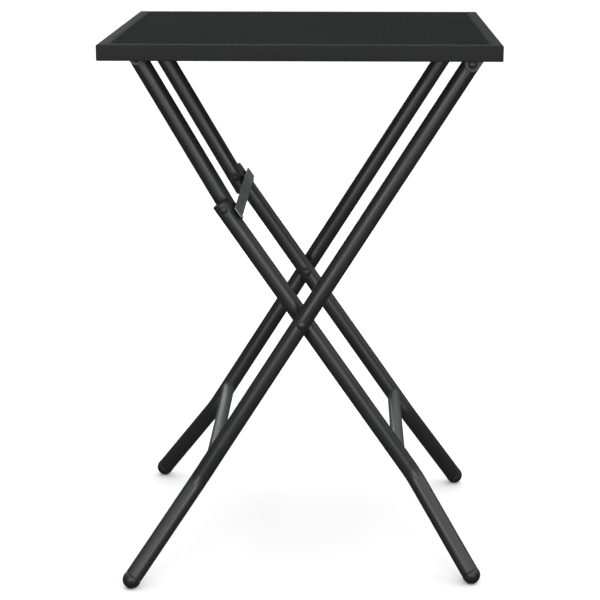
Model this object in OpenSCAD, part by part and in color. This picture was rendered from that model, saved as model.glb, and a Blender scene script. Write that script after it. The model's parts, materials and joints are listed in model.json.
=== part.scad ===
// Folding side table: a square framed top on two crossed pairs of tube legs.
// Origin on the floor under the middle of the top, +Z up, front towards -Y.
// The outer leg frame runs from the top's right side to the left feet.
// The inner leg frame runs from a knuckle on the left to the right feet, and a
// pair of struts joins the knuckle to the top's left side. A flat bar across the
// struts bears on the inner legs and keeps the knuckle past its dead centre.

/* [Table top] */
// Length of each side of the square top
top_size = 500; // [440:5:560]
// Height of the top's upper face above the floor
top_height = 720; // [715:1:740]
// Height of the edge rails
rail_h = 20; // [16:1:24]
// Width of the edge rails, seen from above
rail_w = 15; // [12:1:18]
// Wall of the edge rails
rail_wall = 1.2; // [0.8:0.1:2]
// Outside corner radius of the edge rails
rail_r = 2; // [1:0.5:3]
// How far the panel lies below the rails' upper face
panel_drop = 0.8; // [0:0.1:2]
// Thickness of the sheet panel
panel_t = 1.5; // [1:0.1:3]
// Depth of the panel's folded edges
panel_skirt = 9; // [6:1:12]

/* [Leg tubes] */
// Outside diameter of all leg and strut tubes
tube_d = 23.4; // [20:0.1:26]
// Wall of the leg and strut tubes
tube_wall = 1.5; // [1:0.1:2.5]
// Radius of the bend near each foot, at the tube's centre line
bend_r = 60; // [30:5:90]
// Outside diameter of the two crossbars
crossbar_d = 18; // [14:1:20]
// Wall of the crossbars
crossbar_wall = 1.2; // [0.8:0.1:2]
// Height of the crossbars above the floor
crossbar_z = 161; // [155:1:180]

/* [Where the tubes run] */
// Distance of the outer legs' plane from the middle
outer_y = 172.5; // [170:0.5:180]
// Distance of the inner legs' plane from the middle
inner_y = 142.7; // [141:0.1:144]
// Distance of the struts' plane from the middle
strut_y = 109; // [106:0.5:110]
// Sideways place of the crossing rivets
cross_x = 0.8; // [-3:0.1:3]
// Height of the crossing rivets
cross_z = 349; // [340:1:360]
// Sideways run of the outer legs for each unit of height
outer_slope = 0.632; // [0.6:0.001:0.66]
// Sideways run of the inner legs for each unit of height
inner_slope = 0.694; // [0.66:0.001:0.72]
// Sideways run of the struts for each unit of height
strut_slope = 0.5845; // [0.56:0.0005:0.61]
// Height of the knuckle rivets
knuckle_z = 496; // [480:1:510]
// Height of the pivots under the top
pivot_z = 690.5; // [688:0.5:692]
// Height of the bends above the feet
bend_z = 130.5; // [120:0.5:140]
// Where an outer foot meets the floor: distance from the middle in X and Y
outer_foot = [231.4, 236.8];
// Where an inner foot meets the floor: distance from the middle in X and Y
inner_foot = [236.1, 209.3];

/* [Pivots] */
// Diameter of the rivet shanks
rivet_d = 7; // [6:0.5:8]
// Diameter of the domed rivet heads
head_d = 12; // [10:0.5:14]
// Height of the domed rivet heads
head_h = 3; // [2:0.2:3.2]
// Running clearance between a shank and the tube that turns on it
fit_gap = 0.05; // [0.02:0.01:0.1]
// Thickness of the bracket plates
plate_t = 3; // [2:0.5:3]
// Outside diameter of the spacers between tubes
spacer_d = 17; // [14:1:20]

/* [Release bar] */
// Width of the bar along the struts
bar_w = 16; // [12:1:16]
// Thickness of the bar
bar_t = 1.8; // [1.5:0.1:2.5]
// Distance from the knuckle to the bar's near edge
bar_start = 5.5; // [5:0.5:6]
// Length of the bar
bar_len = 318; // [310:1:319]

/* [Hidden] */
$fn = 64;

tube_r = tube_d / 2;
bore_r = tube_r - tube_wall;
shank_r = rivet_d / 2;
hole_r = shank_r + fit_gap;   // bore that turns on a shank, or is fast on it
turn_gap = 0.3;              // space between faces that turn past each other
plug_gap = 0.05;             // space around a plug inside its tube
bend_lap = 3;                // how far a straight run reaches into its bend
bend_swell = 0.2;            // how much fuller the bend is than the straight run
washer_t = 1;
washer_d = 14;
past = 1;                    // how far a cut reaches past what it cuts
inner_x = top_size / 2 - rail_w;         // inner face of the side rails
under_panel_z = top_height - panel_drop - panel_t;
rail_z = top_height - rail_h;

// Steel colours: dark powder coat, black plastic, worn bare edge
coat = [0.17, 0.18, 0.18];
panel_colour = [0.14, 0.15, 0.16];
plastic = [0.04, 0.04, 0.045];
bar_colour = [0.36, 0.37, 0.35];
rivet_colour = [0.25, 0.26, 0.26];
nylon = [0.1, 0.1, 0.1];

// The pivots, as [x, z] in the front plane
crossing = [cross_x, cross_z];
knuckle = [cross_x - inner_slope * (knuckle_z - cross_z), knuckle_z];
leg_pivot = [cross_x + outer_slope * (pivot_z - cross_z), pivot_z];
strut_pivot = [knuckle[0] - strut_slope * (pivot_z - knuckle_z), pivot_z];

// Unit directions up each tube's axis, as [x, z]
outer_up = [outer_slope, 1] / norm([outer_slope, 1]);
inner_up = [-inner_slope, 1] / norm([inner_slope, 1]);
strut_up = [-strut_slope, 1] / norm([strut_slope, 1]);

// How far each tube runs past its pivot before its plug
outer_top_run = 11;
inner_top_run = 7;
strut_top_run = 11;
strut_low_run = 22;
plug_head = 2.5;
plug_round = 2;
plug_depth = 6;              // how far a plug reaches into its tube
short_plug_depth = 2.5;      // the same where a rivet is close to the end
long_plug_depth = 10;        // the same at the struts' free lower ends

// Feet: a ball end with a small flat, on a short collar
foot_r = 12;
foot_centre_z = 11.6;
foot_collar = 4;
foot_insert = 14;

function at_y(p, y) = [p[0], y, p[1]];
function outer_axis(z) = [cross_x + outer_slope * (z - cross_z), -outer_y, z];
function inner_axis(z) = [cross_x - inner_slope * (z - cross_z), -inner_y, z];
function unit(v) = v / norm(v);

// Middle of a foot's ball end, and the end of the leg tube above it
function ball_centre(bend, floor_point) =
    floor_point - unit(floor_point - bend) * foot_centre_z / abs(unit(floor_point - bend)[2]);
function leg_end(bend, floor_point) =
    ball_centre(bend, floor_point) - unit(floor_point - bend) * foot_collar;

outer_bend = outer_axis(bend_z);
inner_bend = inner_axis(bend_z);
outer_floor = [-outer_foot[0], -outer_foot[1], 0];
inner_floor = [inner_foot[0], -inner_foot[1], 0];
outer_top = at_y(leg_pivot + outer_top_run * outer_up, -outer_y);
inner_top = at_y(knuckle + inner_top_run * inner_up, -inner_y);
strut_top = at_y(strut_pivot + strut_top_run * strut_up, -strut_y);
strut_low = at_y(knuckle - strut_low_run * strut_up, -strut_y);

// ---- shared shapes ----

// Puts local +Z along the line from p to q, starting at p
module along(p, q) {
    d = q - p;
    translate(p) rotate([0, acos(d[2] / norm(d)), atan2(d[1], d[0])]) children();
}

// A round bar from p to q
module rod(p, q, r) {
    along(p, q) cylinder(h = norm(q - p), r = r);
}

// A round bar along Y from y0 to y1 at the pivot p = [x, z]
module y_rod(p, y0, y1, r) {
    translate([p[0], y0, p[1]]) rotate([-90, 0, 0]) cylinder(h = y1 - y0, r = r);
}

// A round bar from a to c that bends at b, with its centre line's bend radius R.
// It is drawn flat, the bend in the XY plane round the origin, then stood in place.
// The straight runs lap into the bend, whose radius differs by swell, so that no
// two surfaces coincide.
module bent_rod(a, b, c, R, r, swell) {
    u = unit(b - a);
    v = unit(c - b);
    turn = acos(u * v);
    setback = R * tan(turn / 2);
    x = -unit(v - (u * v) * u);
    z = cross(x, u);
    mid = b - setback * u - R * x;
    multmatrix([
        [x[0], u[0], z[0], mid[0]],
        [x[1], u[1], z[1], mid[1]],
        [x[2], u[2], z[2], mid[2]],
        [0, 0, 0, 1]
    ]) {
        translate([R, bend_lap, 0]) rotate([90, 0, 0])
            cylinder(h = norm(b - a) - setback + bend_lap, r = r);
        rotate_extrude(angle = turn) translate([R, 0]) circle(r + swell);
        rotate([0, 0, turn]) translate([R, -bend_lap, 0]) rotate([-90, 0, 0])
            cylinder(h = norm(c - b) - setback + bend_lap, r = r);
    }
}

// The same as a tube, open at both ends
module bent_tube(a, b, c, R) {
    difference() {
        bent_rod(a, b, c, R, tube_r, bend_swell);
        bent_rod(a + past * unit(a - b), b, c + past * unit(c - b), R, bore_r, -bend_swell);
    }
}

// A rounded rectangle, drawn from squares and circles
module rounded_rect(w, h, r) {
    square([w - 2 * r, h], center = true);
    square([w, h - 2 * r], center = true);
    for (sx = [-1, 1], sy = [-1, 1])
        translate([sx * (w / 2 - r), sy * (h / 2 - r)]) circle(r, $fn = 32);
}

// Copies the child to the other side of the middle plane
module front_and_rear() {
    children();
    mirror([0, 1, 0]) children();
}

// A domed rivet head with its flat side at y, pointing towards dir (-1 or 1)
module head(p, y, dir, d = head_d) {
    rim = 0.8;
    ball = (pow(d / 2, 2) + pow(head_h - rim, 2)) / (2 * (head_h - rim));
    translate([p[0], y, p[1]]) rotate([-90 * dir, 0, 0]) {
        cylinder(h = rim, d = d);
        translate([0, 0, rim]) intersection() {
            cylinder(h = head_h, d = d);
            translate([0, 0, head_h - rim - ball]) sphere(ball, $fn = 96);
        }
    }
}

// A flat washer on the pivot p, its outboard face at y
module washer(p, y) {
    difference() {
        y_rod(p, y, y + washer_t, washer_d / 2);
        y_rod(p, y - past, y + washer_t + past, hole_r);
    }
}

// What a drill at the pivot p takes out of a tube in the plane y
module drill(p, y) {
    y_rod(p, y - tube_d, y + tube_d, hole_r);
}

// A plug whose rounded head closes a tube's end at p, pointing along dir
module plug(p, dir, depth) {
    along(p, p + dir) {
        translate([0, 0, -depth]) cylinder(h = depth, r = bore_r - plug_gap);
        cylinder(h = plug_head - plug_round, r = tube_r);
        translate([0, 0, plug_head - plug_round]) {
            cylinder(h = plug_round, r = tube_r - plug_round);
            rotate_extrude() translate([tube_r - plug_round, 0]) intersection() {
                circle(plug_round, $fn = 48);
                square(plug_round);
            }
        }
    }
}

// ---- table top ----

// One edge rail along X at the front, mitred at both ends
module rail() {
    translate([0, -top_size / 2 + rail_w / 2, rail_z + rail_h / 2]) difference() {
        rotate([90, 0, 90]) translate([0, 0, -top_size / 2]) linear_extrude(top_size)
            difference() {
                rounded_rect(rail_w, rail_h, rail_r);
                square([rail_w - 2 * rail_wall, rail_h - 2 * rail_wall], center = true);
            }
        for (s = [-1, 1])
            translate([s * top_size / 2, -rail_w / 2, 0]) rotate([0, 0, s * 45])
                translate([s * rail_w, 0, 0]) cube([2 * rail_w, 4 * rail_w, 2 * rail_h], center = true);
    }
}

module front_rail() { color(coat) rail(); }
module rear_rail() { color(coat) rotate([0, 0, 180]) rail(); }
module left_rail() { color(coat) rotate([0, 0, -90]) rail(); }
module right_rail() { color(coat) rotate([0, 0, 90]) rail(); }

// Sheet panel let in between the rails, its edges folded down where nothing is in the way
module ribbed_panel() {
    gap = 0.1;
    half = inner_x - gap;
    side_skirt = 180;            // short, to clear the brackets
    color(panel_colour) {
        translate([-half, -half, under_panel_z]) cube([2 * half, 2 * half, panel_t]);
        for (s = [0, 180]) rotate([0, 0, s])
            translate([-half, -half, under_panel_z - panel_skirt])
                cube([2 * half, panel_t, panel_skirt]);
        for (s = [0, 180]) rotate([0, 0, s])
            translate([-half, -side_skirt / 2, under_panel_z - panel_skirt])
                cube([panel_t, side_skirt, panel_skirt]);
    }
}

// Channel under the panel, from its front fold to its rear fold
module stiffener(x) {
    fold_gap = 2;
    w = 20;
    h = 12;
    wall = 1.2;
    half_len = inner_x - fold_gap;
    color(coat) translate([x, 0, under_panel_z - h / 2]) rotate([90, 0, 0])
        linear_extrude(2 * half_len, center = true) difference() {
            square([w, h], center = true);
            translate([0, wall]) square([w - 2 * wall, h], center = true);
        }
}

stiffener_x = 85;

module panel_stiffener_left() { stiffener(-stiffener_x); }
module panel_stiffener_right() { stiffener(stiffener_x); }

// Bracket at the front: an ear round the pivot p, and a flange on the side rail.
// side is 1 on the right and -1 on the left; y is the ear's outboard face.
// Its outer edge slants up to the rail, and its flange stops short of the rail's foot.
module bracket(p, y, side, r) {
    flange_len = 22;
    foot_gap = 1;
    edge_slant = 12;
    edge_drop = 10;
    cut = 10;
    color(coat) difference() {
        union() {
            y_rod(p, y, y + plate_t, r);
            translate([side > 0 ? p[0] - r : -inner_x, y, p[1]])
                cube([inner_x + r - abs(p[0]), plate_t, under_panel_z - p[1]]);
            translate([
                side > 0 ? inner_x - plate_t : -inner_x,
                y - flange_len + plate_t,
                rail_z + foot_gap
            ]) cube([plate_t, flange_len, under_panel_z - rail_z - foot_gap]);
        }
        y_rod(p, y - past, y + plate_t + past, hole_r);
        translate([side * inner_x, y + plate_t / 2, p[1] - edge_drop]) rotate([0, side * edge_slant, 0])
            translate([side * cut / 2, 0, 0]) cube([cut, 2 * plate_t, 3 * cut], center = true);
    }
}

leg_ear_y = -(outer_y + tube_r + turn_gap + washer_t + plate_t);
leg_ear_r = 10;
strut_ear_y = -(strut_y + tube_r + turn_gap + washer_t + plate_t);
strut_ear_r = 9.5;

module leg_bracket_front() { bracket(leg_pivot, leg_ear_y, 1, leg_ear_r); }
module leg_bracket_rear() { mirror([0, 1, 0]) leg_bracket_front(); }
module strut_bracket_front() { bracket(strut_pivot, strut_ear_y, -1, strut_ear_r); }
module strut_bracket_rear() { mirror([0, 1, 0]) strut_bracket_front(); }

// Outer halves of the leg pivots, in the brackets
module leg_pivot_heads() {
    color(rivet_colour) front_and_rear() {
        head(leg_pivot, leg_ear_y, -1);
        y_rod(leg_pivot, leg_ear_y, leg_ear_y + plate_t + washer_t, shank_r);
    }
}

module leg_pivot_washers() {
    color(nylon) front_and_rear() washer(leg_pivot, leg_ear_y + plate_t);
}

// Whole rivets at the struts' pivots, fast in the brackets
module strut_pivot_rivets() {
    tail_y = -strut_y + tube_r + turn_gap;
    color(rivet_colour) front_and_rear() {
        head(strut_pivot, strut_ear_y, -1);
        y_rod(strut_pivot, strut_ear_y, tail_y, shank_r);
        head(strut_pivot, tail_y, 1);
    }
}

module strut_pivot_washers() {
    color(nylon) front_and_rear() washer(strut_pivot, strut_ear_y + plate_t);
}

// ---- outer leg frame ----

outer_end = leg_end(outer_bend, outer_floor);

module outer_leg() {
    color(coat) difference() {
        bent_tube(outer_top, outer_bend, outer_end, bend_r);
        drill(leg_pivot, -outer_y);
        drill(crossing, -outer_y);
    }
}

module outer_leg_front() { outer_leg(); }
module outer_leg_rear() { mirror([0, 1, 0]) outer_leg(); }

// Crossbar between two legs: ends hollowed to the legs' round
module crossbar(axis_point, half_span, up) {
    reach = tube_d;
    color(coat) difference() {
        translate([axis_point[0], -half_span, axis_point[2]]) rotate([-90, 0, 0])
            cylinder(h = 2 * half_span, d = crossbar_d);
        translate([axis_point[0], -half_span - past, axis_point[2]]) rotate([-90, 0, 0])
            cylinder(h = 2 * (half_span + past), d = crossbar_d - 2 * crossbar_wall);
        for (s = [-1, 1]) {
            middle = [axis_point[0], s * half_span, axis_point[2]];
            slant = [up[0], 0, up[1]];
            rod(middle - reach * slant, middle + reach * slant, tube_r);
        }
    }
}

module outer_crossbar() { crossbar(outer_axis(crossbar_z), outer_y, outer_up); }

// Foot cap, turned from one outline: insert, collar and ball end. It has a flat
// where it stands.
module foot(bend, floor_point) {
    ball = ball_centre(bend, floor_point);
    cut = 80;
    color(plastic) difference() {
        along(ball, floor_point) rotate_extrude() {
            translate([0, -foot_collar - foot_insert]) square([bore_r - plug_gap, foot_insert]);
            translate([0, -foot_collar]) square([foot_r, foot_collar]);
            intersection() {
                circle(foot_r, $fn = 96);
                square(foot_r);
            }
        }
        translate([floor_point[0], floor_point[1], -cut / 2]) cube(cut, center = true);
    }
}

module outer_foot_front() { foot(outer_bend, outer_floor); }
module outer_foot_rear() { mirror([0, 1, 0]) outer_foot_front(); }

module outer_leg_plugs() {
    color(plastic) front_and_rear() plug(outer_top, unit(outer_top - outer_bend), plug_depth);
}

// Inner halves of the leg pivots, in the legs
module leg_pivot_shanks() {
    tail_y = -outer_y + tube_r;
    color(rivet_colour) front_and_rear() {
        y_rod(leg_pivot, -outer_y - tube_r, tail_y, shank_r);
        head(leg_pivot, tail_y, 1);
    }
}

// Rivets at the crossing, fast in the outer legs, with the inner legs turning on them
crossing_tail_y = -inner_y + tube_r + turn_gap + washer_t;

module crossing_rivets() {
    head_y = -outer_y - tube_r;
    color(rivet_colour) front_and_rear() {
        head(crossing, head_y, -1);
        y_rod(crossing, head_y, crossing_tail_y, shank_r);
        head(crossing, crossing_tail_y, 1);
    }
}

// Spacer between two tubes: hollowed to the tube that it sits on, flat on the other side
module spacer(p, y0, y1, up, seat_y) {
    reach = 2 * spacer_d;
    slant = [up[0], 0, up[1]];
    middle = at_y(p, seat_y);
    difference() {
        y_rod(p, y0, y1, spacer_d / 2);
        y_rod(p, y0 - past, y1 + past, hole_r);
        rod(middle - reach * slant, middle + reach * slant, tube_r);
    }
}

saddle = 3;                  // how far a spacer's seat reaches round its tube

module crossing_spacers() {
    color(nylon) front_and_rear()
        spacer(
            crossing, -outer_y + tube_r - saddle, -inner_y - tube_r - turn_gap,
            outer_up, -outer_y
        );
}

module crossing_washers() {
    color(nylon) front_and_rear() washer(crossing, crossing_tail_y - washer_t);
}

// ---- inner leg frame ----

inner_end = leg_end(inner_bend, inner_floor);

module inner_leg() {
    color(coat) difference() {
        bent_tube(inner_top, inner_bend, inner_end, bend_r);
        drill(knuckle, -inner_y);
        drill(crossing, -inner_y);
    }
}

module inner_leg_front() { inner_leg(); }
module inner_leg_rear() { mirror([0, 1, 0]) inner_leg(); }
module inner_crossbar() { crossbar(inner_axis(crossbar_z), inner_y, inner_up); }
module inner_foot_front() { foot(inner_bend, inner_floor); }
module inner_foot_rear() { mirror([0, 1, 0]) inner_foot_front(); }

module inner_leg_plugs() {
    color(plastic) front_and_rear()
        plug(inner_top, unit(inner_top - inner_bend), short_plug_depth);
}

// Rivets at the knuckle, fast in the inner legs, with the struts turning on them
knuckle_head_d = 10.5;
knuckle_tail_y = -strut_y + tube_r + turn_gap + washer_t;

module knuckle_rivets() {
    head_y = -inner_y - tube_r;
    color(rivet_colour) front_and_rear() {
        head(knuckle, head_y, -1, knuckle_head_d);
        y_rod(knuckle, head_y, knuckle_tail_y, shank_r);
        head(knuckle, knuckle_tail_y, 1, knuckle_head_d);
    }
}

module knuckle_spacers() {
    color(nylon) front_and_rear()
        spacer(
            knuckle, -inner_y + tube_r - saddle, -strut_y - tube_r - turn_gap,
            inner_up, -inner_y
        );
}

module knuckle_washers() {
    color(nylon) front_and_rear() washer(knuckle, knuckle_tail_y - washer_t);
}

// ---- struts and release bar ----

module upper_strut() {
    color(coat) difference() {
        rod(strut_low, strut_top, tube_r);
        rod(
            strut_low - past * unit(strut_top - strut_low),
            strut_top + past * unit(strut_top - strut_low),
            bore_r
        );
        drill(knuckle, -strut_y);
        drill(strut_pivot, -strut_y);
    }
}

module upper_strut_front() { upper_strut(); }
module upper_strut_rear() { mirror([0, 1, 0]) upper_strut(); }

module strut_lower_plugs() {
    color(plastic) front_and_rear() plug(strut_low, unit(strut_low - strut_top), long_plug_depth);
}

module strut_upper_plugs() {
    color(plastic) front_and_rear() plug(strut_top, unit(strut_top - strut_low), plug_depth);
}

bar_gap = 1.9;               // between the bar and the inner legs
end_gap = 1;                 // how far pads and bumpers stop short of the bar's edges
bumper_clearance = 0.2;      // between a bumper and its leg

// Frame at the bar's lower edge, X away from the inner legs and Z up along them
module at_bar() {
    translate([knuckle[0], 0, knuckle[1]]) rotate([0, -atan(inner_slope), 0])
        translate([tube_r + bar_gap, 0, -bar_start - bar_w]) children();
}

// Flat bar across both struts, along the inner legs' upper side, on two pads that
// are hollowed to the struts
module release_bar() {
    pad_w = 16;
    pad_depth = 4;
    color(bar_colour) difference() {
        at_bar() {
            translate([0, -bar_len / 2, 0]) cube([bar_t, bar_len, bar_w]);
            for (s = [-1, 1])
                translate([-pad_depth, s * strut_y - pad_w / 2, end_gap])
                    cube([pad_depth + bar_t / 2, pad_w, bar_w - 2 * end_gap]);
        }
        for (s = [-1, 1])
            rod(
                [strut_low[0], s * strut_y, strut_low[2]],
                [strut_top[0], s * strut_y, strut_top[2]],
                tube_r
            );
    }
}

// Soft pads under the bar's ends, which bear on the inner legs
module bar_bumpers() {
    bumper_t = bar_gap - bumper_clearance;
    bumper_w = 12;
    lip = 3;                 // how far they stand out below the bar
    color(plastic) at_bar() for (s = [-1, 1])
        translate([-bumper_t, s * inner_y - bumper_w / 2, -lip])
            cube([bumper_t, bumper_w, bar_w + lip - 2 * end_gap]);
}

front_rail();
rear_rail();
left_rail();
right_rail();
ribbed_panel();
panel_stiffener_left();
panel_stiffener_right();
leg_bracket_front();
leg_bracket_rear();
strut_bracket_front();
strut_bracket_rear();
leg_pivot_heads();
leg_pivot_washers();
strut_pivot_rivets();
strut_pivot_washers();
outer_leg_front();
outer_leg_rear();
outer_crossbar();
outer_foot_front();
outer_foot_rear();
outer_leg_plugs();
leg_pivot_shanks();
crossing_rivets();
crossing_spacers();
crossing_washers();
inner_leg_front();
inner_leg_rear();
inner_crossbar();
inner_foot_front();
inner_foot_rear();
inner_leg_plugs();
knuckle_rivets();
knuckle_spacers();
knuckle_washers();
upper_strut_front();
upper_strut_rear();
strut_lower_plugs();
strut_upper_plugs();
release_bar();
bar_bumpers();
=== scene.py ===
"""Looks of the folding side table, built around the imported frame. Metres throughout."""
import json
import math

import bmesh
import bpy
from mathutils import Matrix, Vector


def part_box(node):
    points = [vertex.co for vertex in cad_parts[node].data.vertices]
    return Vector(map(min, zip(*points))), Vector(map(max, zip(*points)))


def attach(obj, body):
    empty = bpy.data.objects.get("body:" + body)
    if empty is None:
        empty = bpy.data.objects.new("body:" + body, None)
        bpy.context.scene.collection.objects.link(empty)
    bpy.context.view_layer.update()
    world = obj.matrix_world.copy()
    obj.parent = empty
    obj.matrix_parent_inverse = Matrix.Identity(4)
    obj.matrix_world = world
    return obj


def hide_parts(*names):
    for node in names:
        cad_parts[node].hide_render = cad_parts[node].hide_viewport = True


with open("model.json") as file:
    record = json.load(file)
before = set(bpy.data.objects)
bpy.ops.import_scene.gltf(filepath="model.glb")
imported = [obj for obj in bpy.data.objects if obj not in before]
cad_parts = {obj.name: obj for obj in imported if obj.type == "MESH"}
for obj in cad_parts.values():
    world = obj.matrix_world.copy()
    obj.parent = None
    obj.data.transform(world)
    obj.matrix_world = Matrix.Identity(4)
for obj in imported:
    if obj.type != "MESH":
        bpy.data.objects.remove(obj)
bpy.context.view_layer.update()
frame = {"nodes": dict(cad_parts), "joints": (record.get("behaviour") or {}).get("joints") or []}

MM = 0.001
X, Y, Z = Vector((1, 0, 0)), Vector((0, 1, 0)), Vector((0, 0, 1))
FRONT_AND_REAR = (("front", 1), ("rear", -1))
QUARTER_TURNS = (0, 90, 180, 270)


# ---- places, read from the frame ----

def joint_place(name):
    """A joint's pivot at rest."""
    return Vector(next(j["pos_m"] for j in frame["joints"] if j["name"] == name))


def low(node):
    return Vector(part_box(node)[0])


def high(node):
    return Vector(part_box(node)[1])


CROSSING = joint_place("leg_scissor")
KNUCKLE = joint_place("knuckle")
STRUT_PIVOT = joint_place("strut_hinge")
LEG_PIVOT = (low("leg_pivot_shanks") + high("leg_pivot_shanks")) / 2

TUBE_R = (high("upper_strut_front").y - low("upper_strut_front").y) / 2
STRUT_Y = -(high("upper_strut_front").y + low("upper_strut_front").y) / 2
OUTER_Y = TUBE_R - high("outer_leg_front").y
INNER_Y = TUBE_R - high("inner_leg_front").y
FOOT_R = 12 * MM
FOOT_BALL_Z = 11.6 * MM  # a little under FOOT_R, so the ball has a flat to stand on
FOOT_COLLAR = 4 * MM
BEND_Z = 130.5 * MM
BEND_R = 60 * MM
CROSSBAR_R = (high("outer_crossbar").z - low("outer_crossbar").z) / 2
CROSSBAR_Z = (high("outer_crossbar").z + low("outer_crossbar").z) / 2

TOP_HALF = high("front_rail").x
TOP_Z = high("front_rail").z
RAIL_W = high("front_rail").y - low("front_rail").y
RAIL_H = TOP_Z - low("front_rail").z
RAIL_Z = low("front_rail").z
INNER_X = TOP_HALF - RAIL_W
PANEL_TOP = high("ribbed_panel").z
PANEL_T = 1.5 * MM
PANEL_UNDER = PANEL_TOP - PANEL_T
PLATE_T = 3 * MM
FLANGE_L = 22 * MM
HEAD_R = 6 * MM
HEAD_H = 3 * MM
SHANK_R = 3.5 * MM

# How far the tubes run past their pivots, and how far a plug's head stands out of them
OUTER_TOP_RUN = 11 * MM
INNER_TOP_RUN = 7 * MM
STRUT_TOP_RUN = 11 * MM
STRUT_LOW_RUN = 22 * MM
PLUG_HEAD = 2.5 * MM


def in_plane(p, y):
    """The pivot p moved to the plane y."""
    return Vector((p.x, y, p.z))


def upward(a, b):
    """Unit direction from pivot a up to pivot b."""
    return (b - a).normalized()


OUTER_UP = upward(CROSSING, LEG_PIVOT)
INNER_UP = upward(CROSSING, KNUCKLE)
STRUT_UP = upward(KNUCKLE, STRUT_PIVOT)


def on_axis(start, direction, z):
    """The point at height z on the axis through start."""
    return start + direction * ((z - start.z) / direction.z)


def foot_ball(node):
    """Middle of a foot's ball end. Each foot's box has the ball at its outer corner."""
    lo, hi = low(node), high(node)
    x = lo.x + FOOT_R if lo.x < 0 else hi.x - FOOT_R
    y = lo.y + FOOT_R if lo.y < 0 else hi.y - FOOT_R
    return Vector((x, y, FOOT_BALL_Z))


# ---- materials ----

def node_material(name, base, roughness, spec, build=None):
    """A Principled material; build, if given, adds its procedural detail."""
    mat = bpy.data.materials.new(name)
    mat.use_nodes = True
    tree = mat.node_tree
    bsdf = tree.nodes["Principled BSDF"]
    bsdf.inputs["Base Color"].default_value = (*base, 1)
    bsdf.inputs["Roughness"].default_value = roughness
    bsdf.inputs["Specular IOR Level"].default_value = spec
    if build:
        build(tree, bsdf)
    return mat


def add(tree, kind, **values):
    """A shader node. values set its input sockets, or its own settings."""
    node = tree.nodes.new(kind)
    for key, value in values.items():
        if key in node.inputs:
            node.inputs[key].default_value = value
        else:
            setattr(node, key, value)
    return node


def noise(tree, place, scale, detail):
    node = add(tree, "ShaderNodeTexNoise", Scale=scale, Detail=detail)
    tree.links.new(place.outputs["Object"], node.inputs["Vector"])
    return node


def vary_colour(tree, bsdf, source, dark, light):
    """Base colour runs from dark to light with source."""
    ramp = add(tree, "ShaderNodeValToRGB")
    for stop, position, colour in zip(ramp.color_ramp.elements, (0.35, 0.65), (dark, light)):
        stop.position = position
        stop.color = (*colour, 1)
    tree.links.new(source.outputs["Fac"], ramp.inputs["Fac"])
    tree.links.new(ramp.outputs["Color"], bsdf.inputs["Base Color"])


def vary_roughness(tree, bsdf, source, least, most):
    """Roughness runs from least to most with source."""
    spread = add(tree, "ShaderNodeMapRange")
    spread.inputs["From Min"].default_value = 0.3
    spread.inputs["From Max"].default_value = 0.7
    spread.inputs["To Min"].default_value = least
    spread.inputs["To Max"].default_value = most
    tree.links.new(source.outputs["Fac"], spread.inputs["Value"])
    tree.links.new(spread.outputs["Result"], bsdf.inputs["Roughness"])


def bump(tree, bsdf, source, depth, under=None):
    """Fine relief, depth in metres, over another bump if one is given."""
    node = add(tree, "ShaderNodeBump", Strength=1.0, Distance=depth)
    tree.links.new(source, node.inputs["Height"])
    if under:
        tree.links.new(under.outputs["Normal"], node.inputs["Normal"])
    tree.links.new(node.outputs["Normal"], bsdf.inputs["Normal"])
    return node


def tinted(colour, factor):
    return tuple(c * factor for c in colour)


def powder_coat(name, base, rough, texture=1.0, spec=0.5):
    """Satin powder coat: orange peel, a finer speckle, slow changes of tone and gloss."""
    def build(tree, bsdf):
        place = add(tree, "ShaderNodeTexCoord")
        slow = noise(tree, place, 14, 4)
        speckle = noise(tree, place, 2600, 2)
        peel = noise(tree, place, 700, 2)
        vary_colour(tree, bsdf, slow, tinted(base, 0.95), tinted(base, 1.05))
        vary_roughness(tree, bsdf, slow, rough - 0.04, rough + 0.05)
        low_relief = bump(tree, bsdf, peel.outputs["Fac"], 0.00006 * texture)
        bump(tree, bsdf, speckle.outputs["Fac"], 0.00002 * texture, low_relief)
    return node_material(name, base, rough, spec, build)


def moulded_plastic(name, base, rough):
    """Moulded plastic with a spark-eroded grain."""
    def build(tree, bsdf):
        place = add(tree, "ShaderNodeTexCoord")
        slow = noise(tree, place, 40, 3)
        grain = noise(tree, place, 1800, 4)
        vary_colour(tree, bsdf, slow, tinted(base, 0.85), tinted(base, 1.2))
        vary_roughness(tree, bsdf, grain, rough - 0.06, rough + 0.08)
        bump(tree, bsdf, grain.outputs["Fac"], 0.00005)
    return node_material(name, base, rough, 0.4, build)


def ribbed_finish(name, base, rough):
    """Matte coat of the panel: cross threads between the modelled ribs."""
    def build(tree, bsdf):
        place = add(tree, "ShaderNodeTexCoord")
        slow = noise(tree, place, 9, 3)
        threads = add(tree, "ShaderNodeTexWave", Scale=185.0, Distortion=0.6, Detail=1.0,
                      bands_direction="Y", wave_profile="SIN")
        tree.links.new(place.outputs["Object"], threads.inputs["Vector"])
        grain = noise(tree, place, 2200, 2)
        vary_colour(tree, bsdf, slow, tinted(base, 0.92), tinted(base, 1.08))
        vary_roughness(tree, bsdf, grain, rough - 0.05, rough + 0.05)
        low_relief = bump(tree, bsdf, threads.outputs["Fac"], 0.00012)
        bump(tree, bsdf, grain.outputs["Fac"], 0.00003, low_relief)
    return node_material(name, base, rough, 0.02, build)


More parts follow.
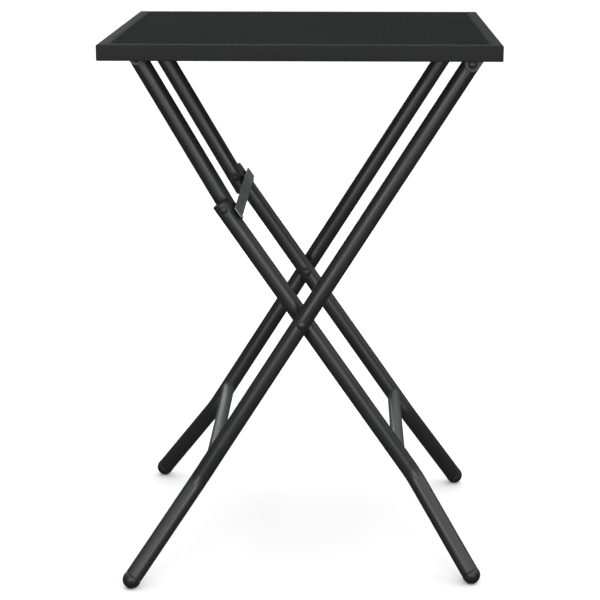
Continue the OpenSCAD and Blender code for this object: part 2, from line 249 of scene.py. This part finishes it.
def streaked_painted_light_coat(name, base, streak_colour, rough):
    """Coat of the release bar, with painted light: a tone far lighter than the tubes' coat for the
    light its face catches, in lighter streaks along its length.
    """
    def build(tree, bsdf):
        place = add(tree, "ShaderNodeTexCoord")
        stretch = add(tree, "ShaderNodeMapping", Scale=(60, 14, 60))
        tree.links.new(place.outputs["Object"], stretch.inputs["Vector"])
        streaks = add(tree, "ShaderNodeTexNoise", Scale=2.0, Detail=5.0)
        tree.links.new(stretch.outputs["Vector"], streaks.inputs["Vector"])
        peel = noise(tree, place, 900, 2)
        vary_colour(tree, bsdf, streaks, base, streak_colour)
        vary_roughness(tree, bsdf, streaks, rough + 0.05, rough - 0.06)
        bump(tree, bsdf, peel.outputs["Fac"], 0.00004)
    return node_material(name, base, rough, 0.2, build)


COAT = (0.0175, 0.018, 0.018)
MATERIALS = {
    "powder_coat": powder_coat("charcoal_powder_coat", COAT, 0.42),
    # rail: painted shade. This is a copy of the tubes' powder coat, a little lighter in tone and
    # with its gloss cut down, so the rails catch less of the front lamps and read darker than the
    # tubes
    "rail": powder_coat("rail_coat_painted_shade", tinted(COAT, 1.12), 0.5, spec=0.06),
    "rivets": powder_coat("coated_rivet", tinted(COAT, 1.1), 0.45, 0.6),
    "panel": ribbed_finish("ribbed_panel_coat", (0.0145, 0.0158, 0.0158), 0.75),
    # bar: painted light. Its tone is far lighter than the tubes' coat and stands for the light the
    # bar's face catches
    "bar": streaked_painted_light_coat("release_bar_painted_light_coat", (0.155, 0.168, 0.161), (0.22, 0.239, 0.229), 0.5),
    "black_plastic": moulded_plastic("black_cap_plastic", (0.014, 0.014, 0.0145), 0.42),
    # crossbar: painted light. This is a lighter copy of the tubes' coat, standing for the light
    # that falls on the crossbars
    "crossbar": powder_coat("crossbar_coat_painted_light", (0.045, 0.05, 0.048), 0.45),
    "nylon": moulded_plastic("black_nylon", (0.009, 0.009, 0.0095), 0.5),
}


# ---- mesh helpers ----

SMOOTH_UNDER = math.radians(38)


def piece(name, verts, faces, body, slot, *nodes, material=None):
    """A mesh object that rides on body, wears slot's material and stands for nodes."""
    mesh = bpy.data.meshes.new(name)
    mesh.from_pydata([tuple(v) for v in verts], [], faces)
    bm = bmesh.new()
    bm.from_mesh(mesh)
    bmesh.ops.remove_doubles(bm, verts=bm.verts, dist=1e-7)
    bmesh.ops.recalc_face_normals(bm, faces=bm.faces)
    for edge in bm.edges:
        edge.smooth = len(edge.link_faces) == 2 and edge.calc_face_angle(0) < SMOOTH_UNDER
    for face in bm.faces:
        face.smooth = True
    bm.to_mesh(mesh)
    bm.free()
    mesh.materials.append(MATERIALS[material or slot])
    obj = bpy.data.objects.new(name, mesh)
    bpy.context.scene.collection.objects.link(obj)
    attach(obj, body)
    if nodes:
        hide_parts(*nodes)
    return obj


class Shape:
    """Vertices and faces, gathered before they become a piece."""

    def __init__(self):
        self.verts = []
        self.faces = []

    def loft(self, rings, looped=False):
        """Skins rings of equal length. looped joins last to first; else both ends are capped."""
        start = len(self.verts)
        n = len(rings[0])
        for ring in rings:
            self.verts.extend(ring)
        turns = len(rings) if looped else len(rings) - 1
        for i in range(turns):
            a = start + i * n
            b = start + (i + 1) % len(rings) * n
            for j in range(n):
                k = (j + 1) % n
                self.faces.append((a + j, a + k, b + k, b + j))
        if not looped:
            self.faces.append(tuple(start + j for j in range(n)))
            last = start + (len(rings) - 1) * n
            self.faces.append(tuple(last + j for j in range(n)))
        return self

    def mirrored(self):
        """Adds a copy on the other side of the middle plane."""
        start = len(self.verts)
        self.verts.extend([Vector((v[0], -v[1], v[2])) for v in self.verts])
        self.faces.extend([tuple(start + i for i in face) for face in self.faces])
        return self

    def flipped(self, side):
        """The same shape, on the front side (1) or the rear side (-1)."""
        self.verts = [Vector((v[0], v[1] * side, v[2])) for v in self.verts]
        return self


def axes_round(direction):
    """Two unit vectors square to direction."""
    side = Y if abs(direction.y) < 0.9 else X
    u = direction.cross(side).normalized()
    return u, direction.cross(u).normalized()


def circle(centre, u, v, r, count):
    return [
        centre + r * (math.cos(t) * u + math.sin(t) * v)
        for t in (2 * math.pi * i / count for i in range(count))
    ]


def lathe(shape, base, direction, profile, count=48):
    """Turns a profile of (radius, distance along direction) pairs."""
    u, v = axes_round(direction)
    least_r = 0.02 * MM
    return shape.loft([circle(base + d * direction, u, v, max(r, least_r), count)
                       for r, d in profile])


def arc(r, start, end, steps):
    """Points on an arc of radius r, angles in degrees."""
    for i in range(steps + 1):
        t = math.radians(start + (end - start) * i / steps)
        yield r * math.cos(t), r * math.sin(t)


def straight_path(a, b, step):
    """Centre line from a to b, as (point, direction) pairs."""
    count = max(1, round((b - a).length / step))
    direction = (b - a).normalized()
    return [(a.lerp(b, i / count), direction) for i in range(count + 1)]


def bent_path(a, b, c, bend_r, step):
    """Centre line from a to c that bends at b."""
    u, v = (b - a).normalized(), (c - b).normalized()
    turn = u.angle(v)
    setback = bend_r * math.tan(turn / 2)
    normal = (v - u.dot(v) * u).normalized()
    arc_start, arc_end = b - setback * u, b + setback * v
    mid = arc_start + bend_r * normal
    path = straight_path(a, arc_start, step)
    bend_steps = 14
    for i in range(1, bend_steps):
        t = turn * i / bend_steps
        path.append((mid + bend_r * (math.sin(t) * u - math.cos(t) * normal),
                     math.cos(t) * u + math.sin(t) * normal))
    return path + straight_path(arc_end, c, step)


TUBE_SIDES = 48
DIMPLE_DEPTH = 0.5 * MM
DIMPLE_R = 7 * MM


def tube(shape, path, r, dimples=()):
    """A round tube along path, its ends eased, its wall drawn in a little round each rivet."""
    ease = 0.4 * MM
    rings = []
    last = len(path) - 1
    for i, (point, direction) in enumerate(path):
        u, v = axes_round(direction)
        if i == 0:
            rings.append(circle(point, u, v, r - ease, TUBE_SIDES))
            point = point + ease * direction
        if i == last:
            rings.append(circle(point - ease * direction, u, v, r, TUBE_SIDES))
            rings.append(circle(point, u, v, r - ease, TUBE_SIDES))
            continue
        ring = circle(point, u, v, r, TUBE_SIDES)
        for pivot in dimples:
            if abs((point - pivot).dot(direction)) < 3 * DIMPLE_R:
                ring = [draw_in(p, pivot) for p in ring]
        rings.append(ring)
    return shape.loft(rings)


def draw_in(p, pivot):
    """Moves a wall point towards the tube's plane near a rivet at pivot."""
    away = math.hypot(p.x - pivot.x, p.z - pivot.z)
    pull = DIMPLE_DEPTH * math.exp(-((away / DIMPLE_R) ** 2) * 1.5)
    side = 1 if p.y > pivot.y else -1
    return Vector((p.x, p.y - side * pull * abs(p.y - pivot.y) / TUBE_R, p.z))


# ---- tubes ----

TUBE_STEP = 2.5 * MM


def leg(name, body, side, plane, top, up, bend_start, foot, pivots):
    """One bent leg tube, from its plug down to the shoulder of its foot cap."""
    bend = in_plane(on_axis(bend_start, up, BEND_Z), -plane)
    ball = foot_ball(foot)
    ball.y = -abs(ball.y)
    end = ball - FOOT_COLLAR * (ball - bend).normalized()
    shape = Shape()
    path = bent_path(in_plane(top, -plane), bend, end, BEND_R, TUBE_STEP)
    tube(shape, path, TUBE_R, [in_plane(p, -plane) for p in pivots])
    piece(name + "_tube", shape.flipped(side).verts, shape.faces, body, "powder_coat", name)
    return end, (ball - bend).normalized()


def foot_cap(name, body, side, end, down):
    """Moulded cap: a fine joint line, a short collar and a ball end, flat where it stands."""
    stem_r, stem_l = TUBE_R - 2 * MM, 6 * MM
    groove_r, groove_w = TUBE_R - 0.35 * MM, 0.3 * MM
    profile = [(stem_r, -stem_l), (stem_r, groove_w), (groove_r, groove_w)]
    profile += [(FOOT_R - 0.25 * MM, 0.6 * MM), (FOOT_R, 1.1 * MM)]
    profile += [(r, FOOT_COLLAR + d) for r, d in arc(FOOT_R, 0, 90, 18)]
    shape = lathe(Shape(), end, down, profile, 64)
    shape.verts = [Vector((v.x, v.y, max(v.z, 0))) for v in shape.verts]
    piece(name + "_cap", shape.flipped(side).verts, shape.faces, body, "black_plastic", name)


def plug_shape(shape, end, outward):
    """Rounded plug head on a tube's end, with a shallow moulded dish."""
    r, rounding = TUBE_R - 0.15 * MM, 1.8 * MM
    profile = [(TUBE_R - 3 * MM, -2 * MM), (r, 0.15 * MM), (r, PLUG_HEAD - rounding)]
    profile += [(r - rounding + x, PLUG_HEAD - rounding + y) for x, y in arc(rounding, 0, 90, 8)]
    profile += [(6.2 * MM, PLUG_HEAD), (5.6 * MM, PLUG_HEAD - 0.5 * MM), (0, PLUG_HEAD - 0.6 * MM)]
    return lathe(shape, end, outward, profile)


def plugs(name, body, end, outward):
    """A front and a rear plug."""
    shape = plug_shape(Shape(), end, outward).mirrored()
    piece(name + "_moulded", shape.verts, shape.faces, body, "black_plastic", name)


def build_legs():
    """Both leg pairs with their foot caps and the plugs in their upper ends."""
    outer_top = LEG_PIVOT + OUTER_TOP_RUN * OUTER_UP
    inner_top = KNUCKLE + INNER_TOP_RUN * INNER_UP
    for place, side in FRONT_AND_REAR:
        end, down = leg("outer_leg_" + place, "outer_frame", side, OUTER_Y, outer_top, OUTER_UP,
                        CROSSING, "outer_foot_" + place, (LEG_PIVOT, CROSSING))
        foot_cap("outer_foot_" + place, "outer_frame", side, end, down)
        end, down = leg("inner_leg_" + place, "inner_frame", side, INNER_Y, inner_top, INNER_UP,
                        CROSSING, "inner_foot_" + place, (KNUCKLE, CROSSING))
        foot_cap("inner_foot_" + place, "inner_frame", side, end, down)
    plugs("outer_leg_plugs", "outer_frame", in_plane(outer_top, -OUTER_Y), OUTER_UP)
    plugs("inner_leg_plugs", "inner_frame", in_plane(inner_top, -INNER_Y), INNER_UP)


def build_struts():
    """Upper struts from the knuckle to the strut brackets, and the plugs in their ends."""
    top = STRUT_PIVOT + STRUT_TOP_RUN * STRUT_UP
    bottom = KNUCKLE - STRUT_LOW_RUN * STRUT_UP
    for place, side in FRONT_AND_REAR:
        shape = Shape()
        path = straight_path(in_plane(bottom, -STRUT_Y), in_plane(top, -STRUT_Y), TUBE_STEP)
        pivots = [in_plane(p, -STRUT_Y) for p in (KNUCKLE, STRUT_PIVOT)]
        tube(shape, path, TUBE_R, pivots)
        piece("upper_strut_%s_tube" % place, shape.flipped(side).verts, shape.faces,
              "upper_struts", "powder_coat", "upper_strut_" + place)
    plugs("strut_upper_plugs", "upper_struts", in_plane(top, -STRUT_Y), STRUT_UP)
    plugs("strut_lower_plugs", "upper_struts", in_plane(bottom, -STRUT_Y), -STRUT_UP)


BEAD_SIDES = 10


def weld_round(shape, middle, along, bar_r, bead_r):
    """Weld bead where a bar along Y meets a leg tube whose axis runs along."""
    across = along.cross(Y).normalized()
    steps, ripples, swells = 120, 26, 7
    rings = []
    for i in range(steps):
        t = 2 * math.pi * i / steps
        reach = math.sqrt(TUBE_R ** 2 - (bar_r * math.sin(t)) ** 2)
        outward = (math.cos(t) * along + math.sin(t) * across).normalized()
        centre = middle + bar_r * outward + reach * Y
        r = bead_r * (1 + 0.12 * math.sin(t * ripples) + 0.05 * math.sin(t * swells + 1))
        rings.append(circle(centre, outward, Y, r, BEAD_SIDES))
    return shape.loft(rings, looped=True)


def crossbar(name, body, start, up, plane):
    """Crossbar between two legs, with a weld bead round each end."""
    middle = on_axis(start, up, CROSSBAR_Z)
    inset = 4 * MM
    a = in_plane(middle, -plane + inset)
    b = in_plane(middle, plane - inset)
    shape = tube(Shape(), straight_path(a, b, 6 * MM), CROSSBAR_R)
    # the crossbar material is painted light: a lighter copy of the tubes' coat
    piece(name + "_tube", shape.verts, shape.faces, body, "powder_coat", name, material="crossbar")
    beads = weld_round(Shape(), in_plane(middle, -plane), up, CROSSBAR_R, 1.3 * MM).mirrored()
    piece(name + "_welds", beads.verts, beads.faces, body, "powder_coat")


# ---- rivets ----

def dome(r, h):
    """Profile of a low domed head with a short rim, from its face to its crown."""
    rim, ease = 0.7 * MM, 0.25 * MM
    rise = h - rim
    ball_r = (r ** 2 + rise ** 2) / (2 * rise)
    half = math.degrees(math.asin(r / ball_r))
    corner = 4  # degrees left out of the arc, to round the rim's upper edge
    points = [(r - ease, 0), (r, ease), (r, rim - ease)]
    points += [(x, h - ball_r + y) for x, y in arc(ball_r, 90 - half + corner, 90, 12)]
    return points


def formed(r, h):
    """Profile of the head that is set by the press: a dome with a small dished crown."""
    dish_r = 1.9 * MM
    points = [(x, d) for x, d in dome(r, h) if x > dish_r]
    return points + [(1.6 * MM, h - 0.15 * MM), (1.1 * MM, h - 0.5 * MM), (0, h - 0.55 * MM)]


def inner_reach(name):
    """How near the middle plane a front-and-rear pair of solids comes."""
    node = frame["nodes"][name]
    return min(abs((node.matrix_world @ v.co).y) for v in node.data.vertices)


def rivet_pair(name, body, pivot, head_r=HEAD_R, head=True, tail=True, sink=0):
    """Front and rear rivets along Y that fill the node's own box: a domed head outboard, a
    set head inboard. sink lowers the domed head into the dimple of the tube under it."""
    start = in_plane(pivot, low(name).y + (HEAD_H if head else 0) + sink)
    end = in_plane(pivot, -inner_reach(name) - (HEAD_H if tail else 0))
    shape = lathe(Shape(), start, Y, [(SHANK_R, 0), (SHANK_R, end.y - start.y)], 32)
    if head:
        lathe(shape, start, -Y, dome(head_r, HEAD_H))
    if tail:
        lathe(shape, end, Y, formed(head_r, HEAD_H))
    shape.mirrored()
    piece(name + "_turned", shape.verts, shape.faces, body, "rivets", name)


def build_rivets():
    sink = 0.8 * DIMPLE_DEPTH
    rivet_pair("crossing_rivets", "outer_frame", CROSSING, sink=sink)
    rivet_pair("knuckle_rivets", "inner_frame", KNUCKLE, head_r=5.25 * MM, sink=sink)
    rivet_pair("strut_pivot_rivets", "table_top", STRUT_PIVOT)
    rivet_pair("leg_pivot_heads", "table_top", LEG_PIVOT, tail=False)
    rivet_pair("leg_pivot_shanks", "outer_frame", LEG_PIVOT, head=False)


# ---- release bar ----

BAR_W, BAR_T = 16 * MM, 1.8 * MM
BAR_START = 5.5 * MM  # from the knuckle's pivot to the bar's upper edge
BAR_GAP = 1.9 * MM    # between the bar and the inner legs


def eased_bar(middle, along, across, out, half_l, half_w, thick, corner, ease):
    """Rings of a flat bar with rounded corners and eased edges, from its underside up."""
    rings = []
    for inset, level in ((ease, 0), (0, ease), (0, thick - ease), (ease, thick)):
        ring = []
        r = corner - inset / 2
        for (sx, sy), turn in zip(((1, 1), (-1, 1), (-1, -1), (1, -1)), QUARTER_TURNS):
            for x, y in arc(r, turn, turn + 90, 6):
                a = sx * (half_l - corner - inset / 2) + x
                b = sy * (half_w - corner - inset / 2) + y
                ring.append(middle + a * along + b * across + level * out)
        rings.append(ring)
    return rings


def build_release_bar():
    """Flat bar with eased edges on welded pads, and the soft bumpers below its ends."""
    out = INNER_UP.cross(Y).normalized()
    if out.z < 0:
        out = -out
    centre = in_plane(KNUCKLE, 0) - INNER_UP * (BAR_START + BAR_W / 2) + out * (TUBE_R + BAR_GAP)
    half = high("release_bar").y
    shape = Shape().loft(eased_bar(centre, Y, INNER_UP, out, half, BAR_W / 2, BAR_T,
                                   2 * MM, 0.35 * MM))
    piece("release_bar_flat", shape.verts, shape.faces, "upper_struts", "bar", "release_bar")

    pads = Shape()
    pad_h, weld_h, weld_w = 3.6 * MM, 1.4 * MM, 0.6 * MM
    for side in (-1, 1):
        foot = centre + side * STRUT_Y * Y - pad_h * out
        for grow, level, top in ((weld_w, 0, weld_h), (0, weld_h, pad_h)):
            pads.loft(eased_bar(foot + level * out, Y, INNER_UP, out, 7 * MM + grow,
                                6 * MM + grow, top - level, 1.5 * MM, 0.3 * MM))
    piece("release_bar_pads", pads.verts, pads.faces, "upper_struts", "powder_coat")

    bumpers = Shape()
    thick, lip = BAR_GAP - 0.2 * MM, 3 * MM
    length = BAR_W + lip - 2 * MM
    for side in (-1, 1):
        middle = (centre + side * INNER_Y * Y - thick * out
                  - (BAR_W / 2 + lip - length / 2) * INNER_UP)
        bumpers.loft(eased_bar(middle, Y, INNER_UP, out, 6 * MM, length / 2, thick,
                               1.2 * MM, 0.4 * MM))
    piece("bar_bumpers_moulded", bumpers.verts, bumpers.faces, "upper_struts", "black_plastic",
          "bar_bumpers")


# ---- table top ----

def rounded_outline(w, h, r, steps=5):
    """Rounded rectangle as (from outer face, from bottom) pairs."""
    corners = ((w - r, h - r), (r, h - r), (r, r), (w - r, r))
    return [(cx + x, cy + y) for (cx, cy), turn in zip(corners, QUARTER_TURNS)
            for x, y in arc(r, turn, turn + 90, steps)]


def spun(turn):
    """A quarter turn of the top, in degrees about its middle."""
    return Matrix.Rotation(math.radians(turn), 3, "Z")


def build_rails():
    """Square tube rails with eased edges; a hair's gap shows the ground weld at each mitre."""
    outline = rounded_outline(RAIL_W, RAIL_H, 1.6 * MM)
    seam = 0.08 * MM
    for name, turn in zip(("front_rail", "right_rail", "rear_rail", "left_rail"), QUARTER_TURNS):
        spin = spun(turn)
        shape = Shape().loft([[spin @ Vector((end * (TOP_HALF - across - seam),
                                              -TOP_HALF + across, RAIL_Z + up))
                               for across, up in outline] for end in (-1, 1)])
        # the rail material is a copy of the tubes' coat with painted shade: lighter tone, gloss
        # cut down
        piece(name + "_tube", shape.verts, shape.faces, "table_top", "powder_coat", name,
              material="rail")


RIB_PITCH = 2.7 * MM
RIB_HEIGHT = 0.35 * MM
RIB_STEPS = 6
SIDE_FOLD_L = 180 * MM  # stops short of the brackets' flanges


def build_panel():
    """Sheet panel with fine rounded ribs from front to rear, and folded edges below."""
    half = INNER_X - 0.1 * MM
    ribs = int(2 * half / RIB_PITCH)
    margin = (2 * half - ribs * RIB_PITCH) / 2
    valley = PANEL_TOP - RIB_HEIGHT
    top = [(-half, valley)]
    for i in range(ribs):
        start = -half + margin + i * RIB_PITCH
        for t in (step / RIB_STEPS for step in range(RIB_STEPS)):
            top.append((start + t * RIB_PITCH, valley + RIB_HEIGHT * math.sin(math.pi * t)))
    top.append((half, valley))
    shape = Shape()
    rows = 5
    for row in range(rows + 1):
        y = -half + 2 * half * row / rows
        shape.verts.extend(Vector((x, y, z)) for x, z in top)
    n = len(top)
    for row in range(rows):
        for i in range(n - 1):
            a = row * n + i
            shape.faces.append((a, a + 1, a + n + 1, a + n))
    under = len(shape.verts)
    shape.verts.extend(Vector((x, y, PANEL_UNDER)) for x, y in
                       ((-half, -half), (half, -half), (half, half), (-half, half)))
    shape.faces.append((under, under + 3, under + 2, under + 1))
    shape.faces.append(tuple(range(n)) + (under + 1, under))
    last = rows * n
    shape.faces.append(tuple(last + i for i in reversed(range(n))) + (under + 3, under + 2))
    shape.faces.append(tuple(row * n for row in reversed(range(rows + 1))) + (under, under + 3))
    shape.faces.append(tuple(row * n + n - 1 for row in range(rows + 1)) + (under + 2, under + 1))
    piece("ribbed_panel_sheet", shape.verts, shape.faces, "table_top", "panel", "ribbed_panel")

    skirt, overlap = 9 * MM, 0.2 * MM
    outline = rounded_outline(PANEL_T, skirt, 0.5 * MM, 3)
    long_fold, side_fold = half - PANEL_T, SIDE_FOLD_L / 2
    folds = Shape()
    for turn, reach in ((0, long_fold), (180, long_fold), (90, side_fold), (270, side_fold)):
        spin = spun(turn)
        folds.loft([[spin @ Vector((end * reach, -half + across,
                                    PANEL_UNDER - skirt + up + overlap))
                     for across, up in outline] for end in (-1, 1)])
    piece("ribbed_panel_folds", folds.verts, folds.faces, "table_top", "panel")


SPOTS = 7


def build_stiffeners():
    """Channels under the panel with rounded folds, and the marks of their spot welds."""
    for place in ("left", "right"):
        name = "panel_stiffener_" + place
        lo, hi = low(name), high(name)
        middle = (lo.x + hi.x) / 2
        wall, fold = 1.2 * MM, 1.6 * MM
        half_w, h = (hi.x - lo.x) / 2, hi.z - lo.z
        outside = [(-half_w, h)]
        outside += [(-half_w + fold + x, fold + y) for x, y in arc(fold, 180, 270, 5)]
        outside += [(half_w - fold + x, fold + y) for x, y in arc(fold, 270, 360, 5)]
        outside += [(half_w, h)]
        half_in = half_w - wall
        inside = [(half_in, h), (half_in, wall), (-half_in, wall), (-half_in, h)]
        shape = Shape().loft([[Vector((middle + x, y, lo.z + z)) for x, z in outside + inside]
                              for y in (lo.y, hi.y)])
        piece(name + "_channel", shape.verts, shape.faces, "table_top", "powder_coat", name)
        spots = Shape()
        spot_r, sunk = 2.2 * MM, 0.1 * MM
        profile = ((spot_r, 0), (2.1 * MM, 0.3 * MM), (1.2 * MM, 0.35 * MM), (0, 0.2 * MM))
        for i in range(SPOTS):
            y = lo.y + (hi.y - lo.y) * (i + 0.5) / SPOTS
            for side in (-1, 1):
                x = middle + side * (half_w + spot_r)
                lathe(spots, Vector((x, y, hi.z - sunk)), -Z, profile, 20)
        piece(name + "_spot_welds", spots.verts, spots.faces, "table_top", "powder_coat")


def eased_plate(shape, outline, base, u, v, normal, thick, ease=0.4 * MM):
    """A plate of that outline with eased edges. outline is in (u, v) from base."""
    mid_a = sum(a for a, b in outline) / len(outline)
    mid_b = sum(b for a, b in outline) / len(outline)
    rings = []
    for inset, level in ((ease, 0), (0, ease), (0, thick - ease), (ease, thick)):
        ring = []
        for a, b in outline:
            da, db = a - mid_a, b - mid_b
            k = 1 - inset / math.hypot(da, db)
            ring.append(base + (mid_a + da * k) * u + (mid_b + db * k) * v + level * normal)
        rings.append(ring)
    shape.loft(rings)


def bracket(name, side, pivot, rail_side, ear_r):
    """Pivot bracket: an ear round the rivet, and a flange welded to the side rail."""
    ear_y = low(name[: name.rindex("_")] + "_front").y + FLANGE_L - PLATE_T
    rail_x = rail_side * INNER_X
    reach = INNER_X - abs(pivot.x)
    ear_top = PANEL_UNDER - pivot.z
    shape = Shape()
    ear_start, ear_end = 180, 332  # degrees: from the far side, under the rivet, to the rail
    outline = list(arc(ear_r, ear_start, ear_end, 18))
    outline += [(reach, RAIL_Z - pivot.z + 0.5 * MM), (reach, ear_top), (-ear_r, ear_top)]
    eased_plate(shape, outline, in_plane(pivot, ear_y), rail_side * X, Z, Y, PLATE_T)

    flange_z = RAIL_Z + 1 * MM
    flange_h = PANEL_UNDER - flange_z
    flange = [(0, 0), (FLANGE_L, 0), (FLANGE_L, flange_h), (0, flange_h)]
    corner = Vector((rail_x, ear_y + PLATE_T, flange_z))
    eased_plate(shape, flange, corner, -Y, Z, -rail_side * X, PLATE_T)

    bead = []
    y0, y1 = ear_y + PLATE_T - FLANGE_L, ear_y
    steps = 60
    for i in range(steps + 1):
        r = (1.1 + 0.14 * math.sin(i * 1.3)) * MM
        if i in (0, steps):
            r *= 0.4  # the bead tapers off at both ends
        centre = Vector((rail_x - rail_side * 0.3 * MM, y0 + (y1 - y0) * i / steps,
                         RAIL_Z + 0.9 * MM))
        bead.append(circle(centre, X, Z, r, BEAD_SIDES))
    shape.loft(bead)
    piece(name + "_plate", shape.flipped(side).verts, shape.faces, "table_top", "powder_coat",
          name)


def build_brackets():
    for place, side in FRONT_AND_REAR:
        bracket("leg_bracket_" + place, side, LEG_PIVOT, 1, 10 * MM)
        bracket("strut_bracket_" + place, side, STRUT_PIVOT, -1, 9.5 * MM)


def dress_cad_nodes():
    """The spacers and washers keep their CAD shape and get the moulded nylon."""
    for name, node in frame["nodes"].items():
        if "spacers" in name or "washers" in name:
            node.data.materials.clear()
            node.data.materials.append(MATERIALS["nylon"])


# ---- floor, light and camera ----

def in_scene(name, data):
    obj = bpy.data.objects.new(name, data)
    bpy.context.scene.collection.objects.link(obj)
    return obj


def aimed(direction):
    """Turn of a light or camera that looks along direction."""
    return Vector(direction).to_track_quat("-Z", "Y").to_euler()


def build_floor():
    """Pale floor. It casts no light back on the table, so the tubes keep dark edges."""
    half = 30
    mesh = bpy.data.meshes.new("floor")
    mesh.from_pydata([(-half, -half, 0), (half, -half, 0), (half, half, 0), (-half, half, 0)],
                     [], [(0, 1, 2, 3)])
    mesh.materials.append(node_material("pale_floor", (0.94, 0.94, 0.94), 0.9, 0.1))
    floor = in_scene("floor", mesh)
    floor.visible_diffuse = False
    floor.visible_glossy = False


def soft_light(name, place, target, width, height, power):
    """Rectangular light, hidden from the camera."""
    data = bpy.data.lights.new(name, "AREA")
    data.shape = "RECTANGLE"
    data.size, data.size_y = width, height
    data.energy = power
    lamp = in_scene(name, data)
    lamp.location = place
    lamp.rotation_euler = aimed(Vector(target) - Vector(place))
    lamp.visible_camera = False


def sky_light(name, direction, angle, strength):
    """Very soft light from one side of the sky, even over the whole floor."""
    data = bpy.data.lights.new(name, "SUN")
    data.angle = math.radians(angle)
    data.energy = strength
    in_scene(name, data).rotation_euler = aimed(direction)


def build_light():
    world = bpy.data.worlds.new("studio")
    bpy.context.scene.world = world
    world.use_nodes = True
    background = world.node_tree.nodes["Background"]
    background.inputs["Color"].default_value = (1, 1, 1, 1)
    background.inputs["Strength"].default_value = 0.08
    sky_light("ceiling", (-0.6, -0.3, -4), 115, 3.75)
    middle = (0, 0, 0.4)
    soft_light("left_box", (-1.0, -2.75, 0.8), middle, 0.9, 0.8, 31)
    soft_light("right_box", (1.05, -2.75, 0.8), middle, 0.9, 0.8, 31)
    soft_light("rim", (-0.9, 2.6, 1.35), (-0.25, 0, 0.72), 0.7, 0.7, 1)
    soft_light("back", (-0.45, 2.6, 0.6), (0, 0, 0.2), 0.9, 0.45, 5)


def build_camera():
    """Camera without roll, a little right of the table's middle, looking 13.6 degrees down."""
    data = bpy.data.cameras.new("camera")
    data.sensor_width = 36
    data.lens = 110.18
    cam = in_scene("camera", data)
    cam.location = (0.0583, -2.5062, 0.9468)
    yaw, down = -0.0254, 0.238
    cam.rotation_euler = aimed((math.sin(yaw) * math.cos(down), math.cos(yaw) * math.cos(down),
                                -math.sin(down)))
    bpy.context.scene.camera = cam
    bpy.context.scene.view_settings.view_transform = "Standard"


build_camera()
build_light()
build_floor()
build_legs()
build_struts()
crossbar("outer_crossbar", "outer_frame", CROSSING, OUTER_UP, OUTER_Y)
crossbar("inner_crossbar", "inner_frame", CROSSING, INNER_UP, INNER_Y)
build_rivets()
build_release_bar()
build_rails()
build_panel()
build_stiffeners()
build_brackets()
dress_cad_nodes()
